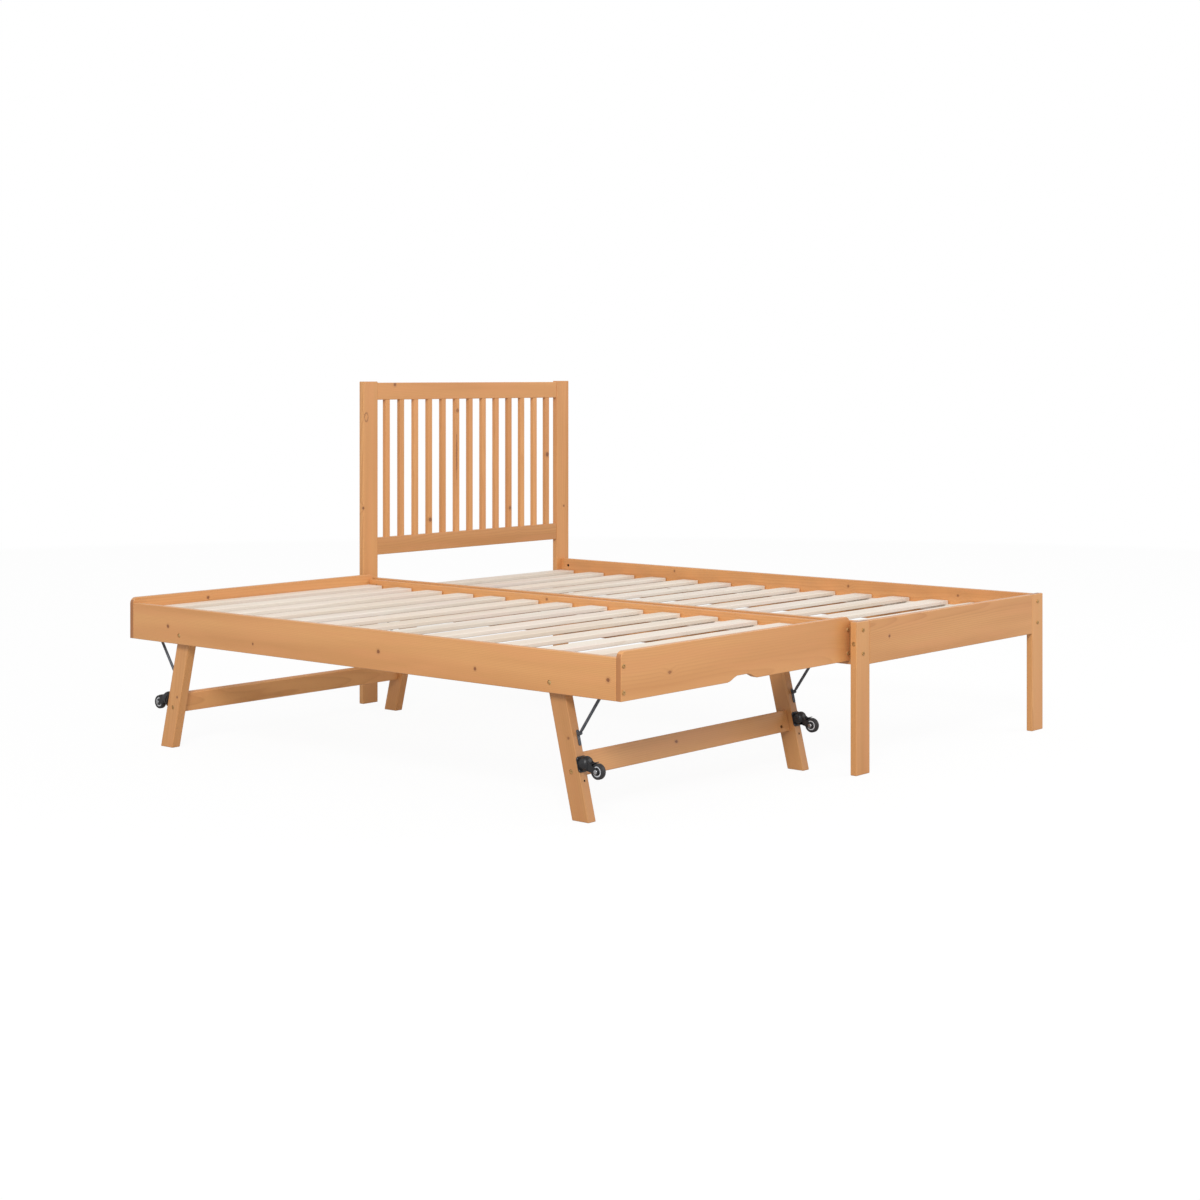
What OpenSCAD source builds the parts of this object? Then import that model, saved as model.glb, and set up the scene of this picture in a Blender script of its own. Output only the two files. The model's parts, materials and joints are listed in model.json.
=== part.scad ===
// Single pine bed with a trundle bed that stands beside it on folding legs.
// +Z is up, +Y is the head end, the trundle is on the -X side.
// The origin is on the floor under the middle of the whole set.

/* [Main bed] */
// Length over the posts
main_len = 2000; // [1950:5:2100]
// Width over the posts
main_w = 1043; // [980:1:1080]
// Height of the head posts
head_h = 1085; // [950:5:1200]
// Top of the side rails, foot board and foot posts
main_top = 425; // [415:1:450]
// Height of the side rails and the foot board
main_rail_h = 122; // [100:1:130]
// Width of a post across the bed
post_w = 67; // [55:1:75]
// Thickness of a post along the bed
post_t = 20; // [20:1:30]
// Thickness of the side rails
main_rail_t = 20; // [18:1:25]
// Depth of the slats below the top of the side rails
main_slat_drop = 41; // [30:1:50]

/* [Headboard] */
// Number of spindles
spindle_count = 13; // [9:1:15]
// Distance from one spindle to the next
spindle_pitch = 67.6; // [55:0.1:68]
// Width of a spindle
spindle_w = 21; // [15:1:30]
// Thickness of a spindle
spindle_t = 15; // [9:1:16]
// Height of the headboard's rails
cross_bar_h = 58; // [45:1:70]
// Thickness of the headboard's rails and the foot board
panel_t = 18; // [16:1:20]
// Underside of the headboard's bottom rail
headboard_z = 498; // [450:1:550]

/* [Trundle] */
// Length over the end boards
trundle_len = 1934; // [1900:1:1940]
// Width over the side rails
trundle_w = 987; // [940:1:987]
// Distance of the trundle's middle from the main bed's middle, towards the head
trundle_shift = 2; // [-5:1:5]
// Underside of the trundle's frame
trundle_z = 314; // [305:1:330]
// Height of the trundle's side rails
trundle_rail_h = 107; // [100:1:115]
// Thickness of the trundle's side rails
trundle_rail_t = 19; // [18:1:22]
// Height of the end boards
end_board_h = 123; // [115:1:135]
// Thickness of the end boards
end_board_t = 16; // [15:1:20]
// Radius of the end boards' top corners
end_board_r = 18; // [10:1:25]
// Depth of the slats below the top of the side rails
trundle_slat_drop = 16; // [14:1:18]

/* [Slats] */
// Number of slats in each bed
slat_count = 14; // [10:1:16]
// Width of a slat
slat_w = 66; // [50:1:75]
// Thickness of a slat
slat_t = 12; // [10:1:15]
// Side of the square ledges that carry the slats
ledge = 20; // [16:1:20]

/* [Folding legs] */
// Distance of a leg's pivot from the end of the trundle
pivot_inset = 234; // [225:1:260]
// Height of a leg's pivot above the underside of the frame
pivot_rise = 26; // [25:1:27]
// Angle that the legs splay outwards
splay = 14; // [12:0.5:15]
// Width of a leg along the bed
leg_w = 53; // [48:1:53]
// Thickness of a leg across the bed
leg_t = 29; // [27:1:32]
// Distance of the cross rails and the castors down the leg from its pivot
cross_rail_at = 212; // [205:1:220]
// Height of the cross rails
cross_rail_h = 58; // [50:1:62]
// Thickness of the cross rails
cross_rail_t = 18; // [18:1:22]

/* [Stays] */
// Diameter of a stay
stay_d = 7; // [6:0.5:8]
// Length of a stay from its pin to its tip
stay_len = 150; // [140:1:152]
// Distance of a stay's pin down the leg from the leg's pivot
stay_pin_at = 137; // [132:1:142]
// Angle between a stay and its leg
stay_angle = 48.6; // [46:0.1:50]
// Distance of the stays from the middle of the legs, towards the main bed
stay_offset = 6; // [0:0.5:6]

/* [Castors] */
// Diameter of a castor's wheel
wheel_d = 40; // [36:1:42]
// Width of a castor's wheel
wheel_w = 15; // [12:1:16]
// Distance of the axle from the leg's face
axle_out = 50; // [46:1:52]
// Distance of the axle from the castor's swivel axis
trail = 25; // [20:1:26]

/* [Hidden] */
$fn = 64;

// Corners of the trundle: name, end (1 head, -1 foot), side (-1 left, 1 right)
CORNERS = [
    ["head_left", 1, -1], ["head_right", 1, 1],
    ["foot_left", -1, -1], ["foot_right", -1, 1]
];
// Ends of the trundle, and the two long sides of either bed
ENDS = [["head", 1], ["foot", -1]];
SIDES = [["left", -1], ["right", 1]];
// What every corner of the trundle has one of
CORNER_PARTS = [
    "leg", "stay_bracket", "stay", "castor_plate", "castor_fork", "castor_axle", "castor_wheel"
];

// Colours
honey = "#d29b64";
raw_pine = "#ebdecd";
bronze = "#8a6a45";
zinc = "#b8babd";
dark_steel = "#4a4d52";
black = "#202124";

// Fits
joint_gap = 0.3;    // free space round a bolt, a nut or a dowel
run_gap = 0.05;     // radial play of a running fit
edge_r = 2.5;       // rounding along a board's long edges

// Whole set, across: the trundle's side rail stands beside the main bed's side rail
rail_gap = 4;
main_left_x = trundle_w + rail_gap - (post_w - main_rail_t) / 2;
set_w = main_left_x + main_w;
trundle_x = -set_w / 2 + trundle_w / 2;
main_x = set_w / 2 - main_w / 2;

// Main bed
post_x = (main_w - post_w) / 2;             // post's middle from the bed's middle
post_y = (main_len - post_t) / 2;
main_rail_len = main_len - 2 * post_t;
main_rail_in = post_x - main_rail_t / 2;    // side rail's inner face from the bed's middle
main_slat_z = main_top - main_slat_drop - slat_t;
panel_w = main_w - 2 * post_w;              // between the posts
top_rail_z = head_h - 4 - cross_bar_h;
tenon = 10;
tenon_w = 15;
tenon_t = 8;
dowel_r = 4;
dowel_len = 50;

// Trundle
trundle_rail_len = trundle_len - 2 * end_board_t;
trundle_rail_x = (trundle_w - trundle_rail_t) / 2;
trundle_rail_in = trundle_rail_x - trundle_rail_t / 2;
trundle_slat_z = trundle_z + trundle_rail_h - trundle_slat_drop - slat_t;
end_board_y = (trundle_len - end_board_t) / 2;
notch_h = 14;
notch_top_w = 48;
notch_bottom_w = 128;
slat_end_gap = 4;
slat_row_gap = 2;

// Bolts that join the boards, in mm from the floor
bolt_r = 3;
bolt_head_r = 5.75;
bolt_head_h = 2.5;
socket_r = 2;
bolt_low_z = 336;
bolt_high_z = 401;
panel_bolt_z = main_top - main_rail_h / 2;
head_sunk = 3;      // depth of the sunk heads below the wood's face
nut_r = 5;
nut_len = 14;
bolt_in = 44;       // length of bolt inside the second board
nut_in = 36;        // distance of the nut from that board's end

// Leg frames
pivot_z = trundle_z + pivot_rise;
pivot_y = trundle_len / 2 - pivot_inset;
leg_len = pivot_z / cos(splay);
leg_gap = 1.5;                              // washer between the side rail and the leg
leg_x = trundle_rail_in - leg_gap - leg_t / 2;
pivot_r = 4;
pivot_head_r = 6;
pivot_head_h = 4;
pivot_head_set = 0.5;                       // head's depth below the rail's outer face
pivot_nut_r = 7;
pivot_nut_h = 6;
washer_r = 10;
washer_t = 1;
cross_rail_len = 2 * (leg_x - leg_t / 2);
leg_bolt_at = cross_rail_at + 14;
leg_dowel_at = cross_rail_at - 14;
leg_dowel_len = 40;

// Stays
pin_out = 8;                                // pin's distance from the leg's face
pin_r = 2;
eye_r = 5.5;
eye_t = 5;
ear_t = 2;
ear_gap = 1.2;
ear_r = 5;
bracket_above = 10;
bracket_below = 30;
bracket_w = eye_t + 2 * (ear_t + ear_gap);
bracket_t = 2;
tip_len = 2;
tip_gap = 0.5;
keeper_gap = 2.5;                           // free space round the stay's tip
keeper_t = 3;
keeper_depth = 10;
keeper_plate_t = 2.5;
keeper_plate = 34;
keeper_screw_at = 12;
screw_hole_r = 2;

// Castors
plate_w = 36;
plate_len = 40;
plate_t = 2.5;
raceway_r = 16;
raceway_out = 9;
crown_r = 18;
crown_in = 9.5;
crown_out = 22;
kingpin_r = 4;
crown_dome = 4;
arm_t = 2.5;
arm_gap = 1;
arm_r = 7;
arm_root = 13;
hood_out = 28;       // reach of the web between the arms
axle_r = 3;
axle_head_r = 4.5;
axle_head_h = 1.5;
shoulder_r = 3;
hub_r = 8;
rim_r = 14;
hub_sunk = 1.5;

// Cross section of a board with its four long edges rounded, a by b
module board_section(a, b, r = edge_r) {
    square([a, b - 2 * r], center = true);
    square([a - 2 * r, b], center = true);
    for (x = [-1, 1], y = [-1, 1])
        translate([x * (a / 2 - r), y * (b / 2 - r)]) circle(r = r, $fn = 24);
}

// Board along X, Y or Z, centred on the origin: length, then its two cross sizes
module board_x(len, height, thickness)
    rotate([0, 90, 0]) linear_extrude(len, center = true) board_section(height, thickness);

module board_y(len, width, height)
    rotate([90, 0, 0]) linear_extrude(len, center = true) board_section(width, height);

module board_z(len, width, thickness)
    linear_extrude(len, center = true) board_section(width, thickness);

// Round bar between two heights along X or Y, centred on the origin's axis
module rod_x(r, from, to) translate([from, 0, 0]) rotate([0, 90, 0]) cylinder(r = r, h = to - from);
module rod_y(r, from, to) translate([0, to, 0]) rotate([90, 0, 0]) cylinder(r = r, h = to - from);

// Puts its children head end first for end 1, and turned round for end -1
module facing(end) rotate([0, 0, end > 0 ? 180 : 0]) children();

module mirror_x(side) if (side < 0) mirror([1, 0, 0]) children(); else children();
module mirror_y(end) if (end < 0) mirror([0, 1, 0]) children(); else children();

// Bolt along +Y from a head on the face y = 0, through the first board into the second
module bolt(first) {
    difference() {
        rotate([90, 0, 0]) cylinder(r1 = bolt_head_r, r2 = bolt_head_r - 1, h = bolt_head_h);
        rod_y(socket_r, -bolt_head_h - 1, -1);
    }
    rod_y(bolt_r, 0, first + bolt_in);
}

// Barrel nut that the bolt screws into, with its axis along X
module barrel_nut(first)
    translate([0, first + nut_in, 0]) difference() {
        rod_x(nut_r, -nut_len / 2, nut_len / 2);
        rod_y(bolt_r + run_gap, -nut_r - 1, nut_r + 1);
    }

// Holes for both: the nut's hole opens on the side that side names, depth from the bolt's axis
module bolt_holes(first, side, depth) {
    rod_y(bolt_r + joint_gap, -1, first + bolt_in + 1);
    translate([0, first + nut_in, 0])
        mirror_x(side) rod_x(nut_r + joint_gap, -nut_len / 2 - joint_gap, depth + 1);
}

// The same with the head sunk below the face of the first board
module sunk_bolt_holes(first, side, depth) {
    bolt_holes(first, side, depth);
    rod_y(bolt_head_r + joint_gap, -head_sunk - 1, 0);
}

// Where the bolts are: through the posts into the main bed's side rails
module at_rail_bolts(end, side)
    for (z = [bolt_low_z, bolt_high_z])
        translate([main_x + side * post_x, end * main_len / 2, z]) facing(end) children();

// Through the foot posts into the foot board, with sunk heads
module at_panel_bolt(side)
    translate([main_x + side * (main_w / 2 - head_sunk), (panel_t - main_len) / 2, panel_bolt_z])
        rotate([0, 0, side * 90]) children();

// Through the trundle's end boards into its side rails
module at_trundle_bolts(end, side)
    for (z = [bolt_low_z, bolt_high_z])
        translate([trundle_x + side * trundle_rail_x, trundle_shift + end * trundle_len / 2, z])
            facing(end) children();

// Holes of one corner of either frame
module rail_bolt_holes(end, side)
    at_rail_bolts(end, side) bolt_holes(post_t, end * side, main_rail_t / 2);
module panel_bolt_holes(side)
    at_panel_bolt(side) sunk_bolt_holes(post_w - head_sunk, side, panel_t / 2);
module trundle_bolt_holes(end, side)
    at_trundle_bolts(end, side) bolt_holes(end_board_t, end * side, trundle_rail_t / 2);

// Dowels between the headboard's rails and the head posts
module at_headboard_dowels(side)
    for (z = [top_rail_z, headboard_z], up = [1, 3])
        translate([main_x + side * (post_x - post_w / 2), post_y, z + up * cross_bar_h / 4]) children();
module headboard_dowel_holes(side)
    at_headboard_dowels(side) rod_x(dowel_r + joint_gap, -dowel_len / 2 - 1, dowel_len / 2 + 1);

// Main bed
module post(end, side) {
    height = end > 0 ? head_h : main_top;
    color(honey) difference() {
        translate([main_x + side * post_x, end * post_y, height / 2]) board_z(height, post_w, post_t);
        rail_bolt_holes(end, side);
        if (end < 0) panel_bolt_holes(side);
        if (end > 0) headboard_dowel_holes(side);
    }
}

module spindles()
    for (i = [0 : spindle_count - 1])
        translate([main_x + (i - (spindle_count - 1) / 2) * spindle_pitch, post_y, 0])
            translate([0, 0, (headboard_z + cross_bar_h + top_rail_z) / 2]) children();

module headboard_spindles()
    color(honey) spindles() {
        board_z(top_rail_z - headboard_z - cross_bar_h, spindle_w, spindle_t);
        tenons(0);
    }

// Bar that makes both tenons of a spindle, or with a gap the mortises for them
module tenons(gap)
    cube(
        [tenon_w + gap, tenon_t + gap, top_rail_z - headboard_z - cross_bar_h + 2 * tenon + gap],
        center = true);

module headboard_rail(z)
    color(honey) difference() {
        translate([main_x, post_y, z + cross_bar_h / 2]) board_x(panel_w, cross_bar_h, panel_t);
        for (side = [-1, 1]) headboard_dowel_holes(side);
        spindles() tenons(joint_gap);
    }

module headboard_dowels()
    color(raw_pine) for (side = [-1, 1])
        at_headboard_dowels(side) rod_x(dowel_r, -dowel_len / 2, dowel_len / 2);

module foot_board()
    color(honey) difference() {
        translate([main_x, (panel_t - main_len) / 2, main_top - main_rail_h / 2])
            board_x(panel_w, main_rail_h, panel_t);
        for (side = [-1, 1]) panel_bolt_holes(side);
    }

module main_side_rail(side)
    color(honey) difference() {
        translate([main_x + side * post_x, 0, main_top - main_rail_h / 2])
            board_y(main_rail_len, main_rail_t, main_rail_h);
        for (end = [-1, 1]) rail_bolt_holes(end, side);
    }

module main_ledge(side)
    color(raw_pine) translate([main_x + side * (main_rail_in - ledge / 2), 0, main_slat_z - ledge / 2])
        cube([ledge, main_rail_len - 2 * slat_row_gap, ledge], center = true);

// Row of slats that fills a length, centred on the origin, with its underside at z = 0
module slats(length, row) {
    pitch = (row - slat_w) / (slat_count - 1);
    for (i = [0 : slat_count - 1])
        translate([0, (i - (slat_count - 1) / 2) * pitch, slat_t / 2])
            board_x(length, slat_t, slat_w);
}

module main_slats()
    color(raw_pine) translate([main_x, 0, main_slat_z])
        slats(2 * (main_rail_in - slat_end_gap), main_rail_len - 2 * slat_row_gap);

module main_bolts()
    color(bronze) for (side = [-1, 1]) {
        for (end = [-1, 1]) at_rail_bolts(end, side) bolt(post_t);
        at_panel_bolt(side) bolt(post_w - head_sunk);
    }

module main_barrel_nuts()
    color(zinc) for (side = [-1, 1]) {
        for (end = [-1, 1]) at_rail_bolts(end, side) barrel_nut(post_t);
        at_panel_bolt(side) barrel_nut(post_w - head_sunk);
    }

// Trundle
module trundle_side_rail(side)
    color(honey) difference() {
        translate([trundle_x + side * trundle_rail_x, trundle_shift, trundle_z + trundle_rail_h / 2])
            board_y(trundle_rail_len, trundle_rail_t, trundle_rail_h);
        for (end = [-1, 1]) {
            trundle_bolt_holes(end, side);
            at_pivot(end, side) {
                rod_x(pivot_r + joint_gap, -1, trundle_rail_t + 1);
                rod_x(pivot_head_r + joint_gap, -1, pivot_head_h);
            }
        }
    }

module end_board_outline() {
    r = end_board_r;
    difference() {
        union() {
            translate([-trundle_w / 2, 0]) square([trundle_w, end_board_h - r]);
            translate([r - trundle_w / 2, 0]) square([trundle_w - 2 * r, end_board_h]);
            for (side = [-1, 1]) translate([side * (trundle_w / 2 - r), end_board_h - r]) circle(r = r);
        }
        polygon([
            [-notch_bottom_w / 2, 0], [-notch_top_w / 2, notch_h], [notch_top_w / 2, notch_h],
            [notch_bottom_w / 2, 0], [notch_bottom_w / 2, -1], [-notch_bottom_w / 2, -1]
        ]);
    }
}

module trundle_end_board(end)
    color(honey) difference() {
        translate([trundle_x, trundle_shift + end * end_board_y, trundle_z]) rotate([90, 0, 0])
            linear_extrude(end_board_t, center = true) end_board_outline();
        for (side = [-1, 1]) trundle_bolt_holes(end, side);
    }

module trundle_ledge(side)
    color(raw_pine)
        translate([trundle_x + side * (trundle_rail_in - ledge / 2), trundle_shift, trundle_slat_z])
            translate([0, 0, -ledge / 2])
                cube([ledge, trundle_rail_len - 2 * slat_row_gap, ledge], center = true);

module trundle_slats()
    color(raw_pine) translate([trundle_x, trundle_shift, trundle_slat_z])
        slats(2 * (trundle_rail_in - slat_end_gap), trundle_rail_len - 2 * slat_row_gap);

module trundle_bolts()
    color(bronze) for (end = [-1, 1], side = [-1, 1])
        at_trundle_bolts(end, side) bolt(end_board_t);

module trundle_barrel_nuts()
    color(zinc) for (end = [-1, 1], side = [-1, 1])
        at_trundle_bolts(end, side) barrel_nut(end_board_t);

// Pivot of a leg, with +X inwards from the side rail's outer face
module at_pivot(end, side)
    translate([trundle_x + side * trundle_w / 2, trundle_shift + end * pivot_y, pivot_z])
        mirror_x(-side) children();

module leg_pivot_bolts() {
    washer_from = trundle_rail_t + (leg_gap - washer_t) / 2;
    nut_from = trundle_rail_t + leg_gap + leg_t + joint_gap;
    for (end = [-1, 1], side = [-1, 1]) at_pivot(end, side) {
        color(zinc) difference() {
            rod_x(pivot_head_r, pivot_head_set, pivot_head_h);
            rod_x(socket_r, 0, pivot_head_h - 1);
        }
        color(zinc) rod_x(pivot_r, pivot_head_h, nut_from + pivot_nut_h + 1);
        color(zinc) difference() {
            rod_x(washer_r, washer_from, washer_from + washer_t);
            rod_x(pivot_r + run_gap, 0, nut_from);
        }
        color(zinc) difference() {
            translate([nut_from, 0, 0]) rotate([0, 90, 0])
                cylinder(r = pivot_nut_r, h = pivot_nut_h, $fn = 6);
            rod_x(pivot_r + run_gap, 0, nut_from + pivot_nut_h + 1);
        }
    }
}

// Leg frames. At an end: the origin is the pivots' axis, +Y points out of the legs' outward
// faces and -Z runs down the legs. At a corner: the same, on the middle of that corner's leg.
module at_end(end)
    translate([trundle_x, trundle_shift + end * pivot_y, pivot_z])
        mirror_y(end) rotate([splay, 0, 0]) children();

module at_corner(end, side) at_end(end) translate([side * leg_x, 0, 0]) children();

// Bolt of a leg into its cross rail, from a head sunk in the leg's outer face
module at_leg_bolt(side)
    translate([side * (leg_x + leg_t / 2 - head_sunk), 0, -leg_bolt_at])
        rotate([0, 0, side * 90]) children();

module leg_bolt_holes(side)
    at_leg_bolt(side) sunk_bolt_holes(leg_t - head_sunk, side, cross_rail_t / 2);

module at_leg_dowel(side) translate([side * (leg_x - leg_t / 2), 0, -leg_dowel_at]) children();
module leg_dowel_hole(side)
    at_leg_dowel(side) rod_x(dowel_r + joint_gap, -leg_dowel_len / 2 - 1, leg_dowel_len / 2 + 1);

module leg(end, side) {
    half = leg_w / 2;
    color(honey) difference() {
        at_corner(end, side) {
            rod_x(half, -leg_t / 2, leg_t / 2);
            rotate([90, 0, 90]) linear_extrude(leg_t, center = true) polygon([
                [-half, 0], [half, 0],
                [half, -leg_len - half * tan(splay)], [-half, -leg_len + half * tan(splay)]
            ]);
        }
        at_corner(end, side) rod_x(pivot_r + run_gap, -leg_t, leg_t);
        at_end(end) {
            leg_bolt_holes(side);
            leg_dowel_hole(side);
        }
    }
}

module cross_rail(end)
    color(honey) at_end(end) difference() {
        translate([0, 0, -cross_rail_at]) board_x(cross_rail_len, cross_rail_h, cross_rail_t);
        for (side = [-1, 1]) {
            leg_bolt_holes(side);
            leg_dowel_hole(side);
        }
    }

module leg_bolts(end)
    at_end(end) for (side = [-1, 1]) {
        color(bronze) at_leg_bolt(side) bolt(leg_t - head_sunk);
        color(zinc) at_leg_bolt(side) barrel_nut(leg_t - head_sunk);
        color(raw_pine) at_leg_dowel(side) rod_x(dowel_r, -leg_dowel_len / 2, leg_dowel_len / 2);
    }

// Stays. At the pin: +Z runs up the stay to its tip
module at_pin(end, side)
    at_corner(end, side) translate([stay_offset, leg_w / 2 + pin_out, -stay_pin_at]) children();

module stay_bracket(end, side)
    color(dark_steel) at_pin(end, side) {
        ear_from = eye_t / 2 + ear_gap;
        translate([-bracket_w / 2, -pin_out, -bracket_below])
            cube([bracket_w, bracket_t, bracket_above + bracket_below]);
        for (x = [-ear_from - ear_t, ear_from]) {
            rod_x(ear_r, x, x + ear_t);
            translate([x, -pin_out, -ear_r]) cube([ear_t, pin_out, 2 * ear_r]);
        }
        rod_x(pin_r, -bracket_w / 2, bracket_w / 2);
    }

module stay(end, side)
    color(dark_steel) at_pin(end, side) rotate([-stay_angle, 0, 0]) {
        difference() {
            union() {
                rod_x(eye_r, -eye_t / 2, eye_t / 2);
                translate([0, 0, ear_r]) cylinder(r = stay_d / 2, h = stay_len - ear_r - tip_len);
            }
            rod_x(pin_r + run_gap, -stay_d, stay_d);
        }
        translate([0, 0, stay_len - tip_len])
            cylinder(r1 = stay_d / 2, r2 = stay_d / 2 - 1, h = tip_len);
    }

// Steel socket on the side rail that opens along the stay, with its web above the stay's tip
module stay_keeper(end, side) {
    half_gap = stay_d / 2 + keeper_gap;
    rail_face = side * (leg_t / 2 + leg_gap) - stay_offset;
    length = abs(rail_face) + half_gap;
    color(dark_steel) at_pin(end, side) rotate([-stay_angle, 0, 0]) translate([rail_face, 0, stay_len])
        mirror_x(-side) {
            difference() {
                translate([0, -half_gap - keeper_t, -keeper_depth])
                    cube([length, 2 * (half_gap + keeper_t), keeper_depth + tip_gap + keeper_t]);
                translate([keeper_plate_t, -half_gap, -keeper_depth - 1])
                    cube([length, 2 * half_gap, keeper_depth + tip_gap + 1]);
            }
            difference() {
                translate([0, -keeper_plate / 2, -keeper_plate / 2])
                    cube([keeper_plate_t, keeper_plate, keeper_plate]);
                for (y = [-keeper_screw_at, keeper_screw_at])
                    translate([0, y, 0]) rod_x(screw_hole_r, -1, keeper_plate_t + 1);
            }
        }
}

module stay_keepers() for (c = CORNERS) stay_keeper(c[1], c[2]);

// Castors. The origin is on the leg's outward face, +Y is the swivel axis and the wheel trails
// down the leg
module at_castor(end, side)
    at_corner(end, side) translate([0, leg_w / 2, -cross_rail_at]) children();

module at_axle(end, side) at_castor(end, side) translate([0, axle_out, -trail]) children();

module castor_plate(end, side)
    color(black) at_castor(end, side) difference() {
        union() {
            translate([-plate_w / 2, 0, -plate_len / 2]) cube([plate_w, plate_t, plate_len]);
            rod_y(raceway_r, 0, raceway_out);
        }
        rod_y(kingpin_r + run_gap, plate_t, raceway_out + 1);
    }

module castor_fork(end, side)
    color(black) difference() {
        at_castor(end, side) {
            rod_y(kingpin_r, plate_t + run_gap * 4, crown_in + 1);
            rod_y(crown_r, crown_in, crown_out - crown_dome);
            translate([0, crown_out - crown_dome, 0]) rotate([-90, 0, 0])
                cylinder(r1 = crown_r, r2 = crown_r - crown_dome, h = crown_dome);
            for (x = [-1, 1]) translate([x * (wheel_w / 2 + arm_gap + arm_t / 2), 0, 0])
                rotate([90, 0, 90]) linear_extrude(arm_t, center = true) arm_outline();
            rotate([90, 0, 90]) linear_extrude(wheel_w + 2 * (arm_gap + arm_t), center = true)
                intersection() {
                    arm_outline();
                    translate([0, -crown_r * 2]) square([hood_out, crown_r * 4]);
                }
        }
        at_axle(end, side) rod_x(axle_r + run_gap, -wheel_w, wheel_w);
    }

// Arm of the fork, from the crown to the axle, in the plane of the wheel
module arm_outline() {
    slope = atan2(trail, axle_out - crown_in);
    translate([axle_out, -trail]) circle(r = arm_r);
    polygon([
        [crown_in, -arm_root], [crown_in, arm_root], [crown_out - crown_dome, arm_root],
        [axle_out + arm_r * sin(slope), -trail + arm_r * cos(slope)],
        [axle_out - arm_r * sin(slope), -trail - arm_r * cos(slope)]
    ]);
}

module castor_axle(end, side)
    color(zinc) at_axle(end, side) {
        half = wheel_w / 2 + arm_gap + arm_t;
        rod_x(axle_r, -half, half);
        for (x = [-1, 1]) mirror_x(x) rod_x(axle_head_r, half, half + axle_head_h);
    }

module castor_wheel(end, side) {
    bore_r = axle_r + run_gap;
    tread_r = wheel_d / 2;
    color(black) at_axle(end, side) rotate([0, 90, 0]) rotate_extrude($fn = 96) difference() {
        union() {
            translate([bore_r, -wheel_w / 2]) square([tread_r - shoulder_r - bore_r, wheel_w]);
            translate([bore_r, shoulder_r - wheel_w / 2])
                square([tread_r - bore_r, wheel_w - 2 * shoulder_r]);
            for (y = [-1, 1]) translate([tread_r - shoulder_r, y * (wheel_w / 2 - shoulder_r)])
                circle(r = shoulder_r, $fn = 32);
        }
        for (y = [-1, 1]) translate([hub_r, y * wheel_w / 2 - hub_sunk])
            square([rim_r - hub_r, 2 * hub_sunk]);
    }
}

// Main bed
headboard_rail(top_rail_z);  // headboard_top_rail
headboard_rail(headboard_z);  // headboard_bottom_rail
headboard_spindles();
headboard_dowels();
foot_board();
main_slats();
main_bolts();
main_barrel_nuts();
for (e = ENDS, s = SIDES)
    post(e[1], s[1]);
for (s = SIDES) {
    main_side_rail(s[1]);
    main_ledge(s[1]);
}

// Trundle
trundle_slats();
trundle_bolts();
trundle_barrel_nuts();
leg_pivot_bolts();
stay_keepers();
for (s = SIDES) {
    trundle_side_rail(s[1]);
    trundle_ledge(s[1]);
}
for (e = ENDS) {
    trundle_end_board(e[1]);
    cross_rail(e[1]);
    leg_bolts(e[1]);
}

// Corners of the trundle
for (c = CORNERS) {
    leg(c[1], c[2]);
    stay_bracket(c[1], c[2]);
    stay(c[1], c[2]);
    castor_plate(c[1], c[2]);
    castor_fork(c[1], c[2]);
    castor_axle(c[1], c[2]);
    castor_wheel(c[1], c[2]);
}
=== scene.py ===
"""A single pine bed with a slatted base and a spindle headboard, and a trundle bed of the same
height beside it on folding legs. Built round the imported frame: every wooden board is a planed
piece with its own run of grain, the bolts and stays are metal and the castors black plastic."""

import json
import math
import random

import bmesh
import bpy
from mathutils import Matrix, Vector


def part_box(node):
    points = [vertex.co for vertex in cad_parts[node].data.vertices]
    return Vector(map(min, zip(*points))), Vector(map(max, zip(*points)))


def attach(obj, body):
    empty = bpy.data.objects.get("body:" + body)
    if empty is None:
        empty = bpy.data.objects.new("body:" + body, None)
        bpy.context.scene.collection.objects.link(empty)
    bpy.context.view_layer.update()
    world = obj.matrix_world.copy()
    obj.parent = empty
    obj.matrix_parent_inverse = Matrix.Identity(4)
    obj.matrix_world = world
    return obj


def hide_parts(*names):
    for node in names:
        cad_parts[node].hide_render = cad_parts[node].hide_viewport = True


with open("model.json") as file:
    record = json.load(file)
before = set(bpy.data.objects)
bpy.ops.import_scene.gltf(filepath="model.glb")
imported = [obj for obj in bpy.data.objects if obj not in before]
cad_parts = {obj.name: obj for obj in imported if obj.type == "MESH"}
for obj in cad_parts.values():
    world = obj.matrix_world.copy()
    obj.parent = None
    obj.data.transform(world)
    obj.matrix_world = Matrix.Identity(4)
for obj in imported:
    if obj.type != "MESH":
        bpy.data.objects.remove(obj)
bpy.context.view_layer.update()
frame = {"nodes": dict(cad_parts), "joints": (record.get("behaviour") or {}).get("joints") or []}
rng = random.Random(7)
JOINTS = {j["name"]: j for j in frame["joints"]}
ENDS = {"head": 1, "foot": -1}
SIDES = {"left": -1, "right": 1}
CORNERS = [(e, s) for e in ENDS for s in SIDES]


# ---------------------------------------------------------------- materials


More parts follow.
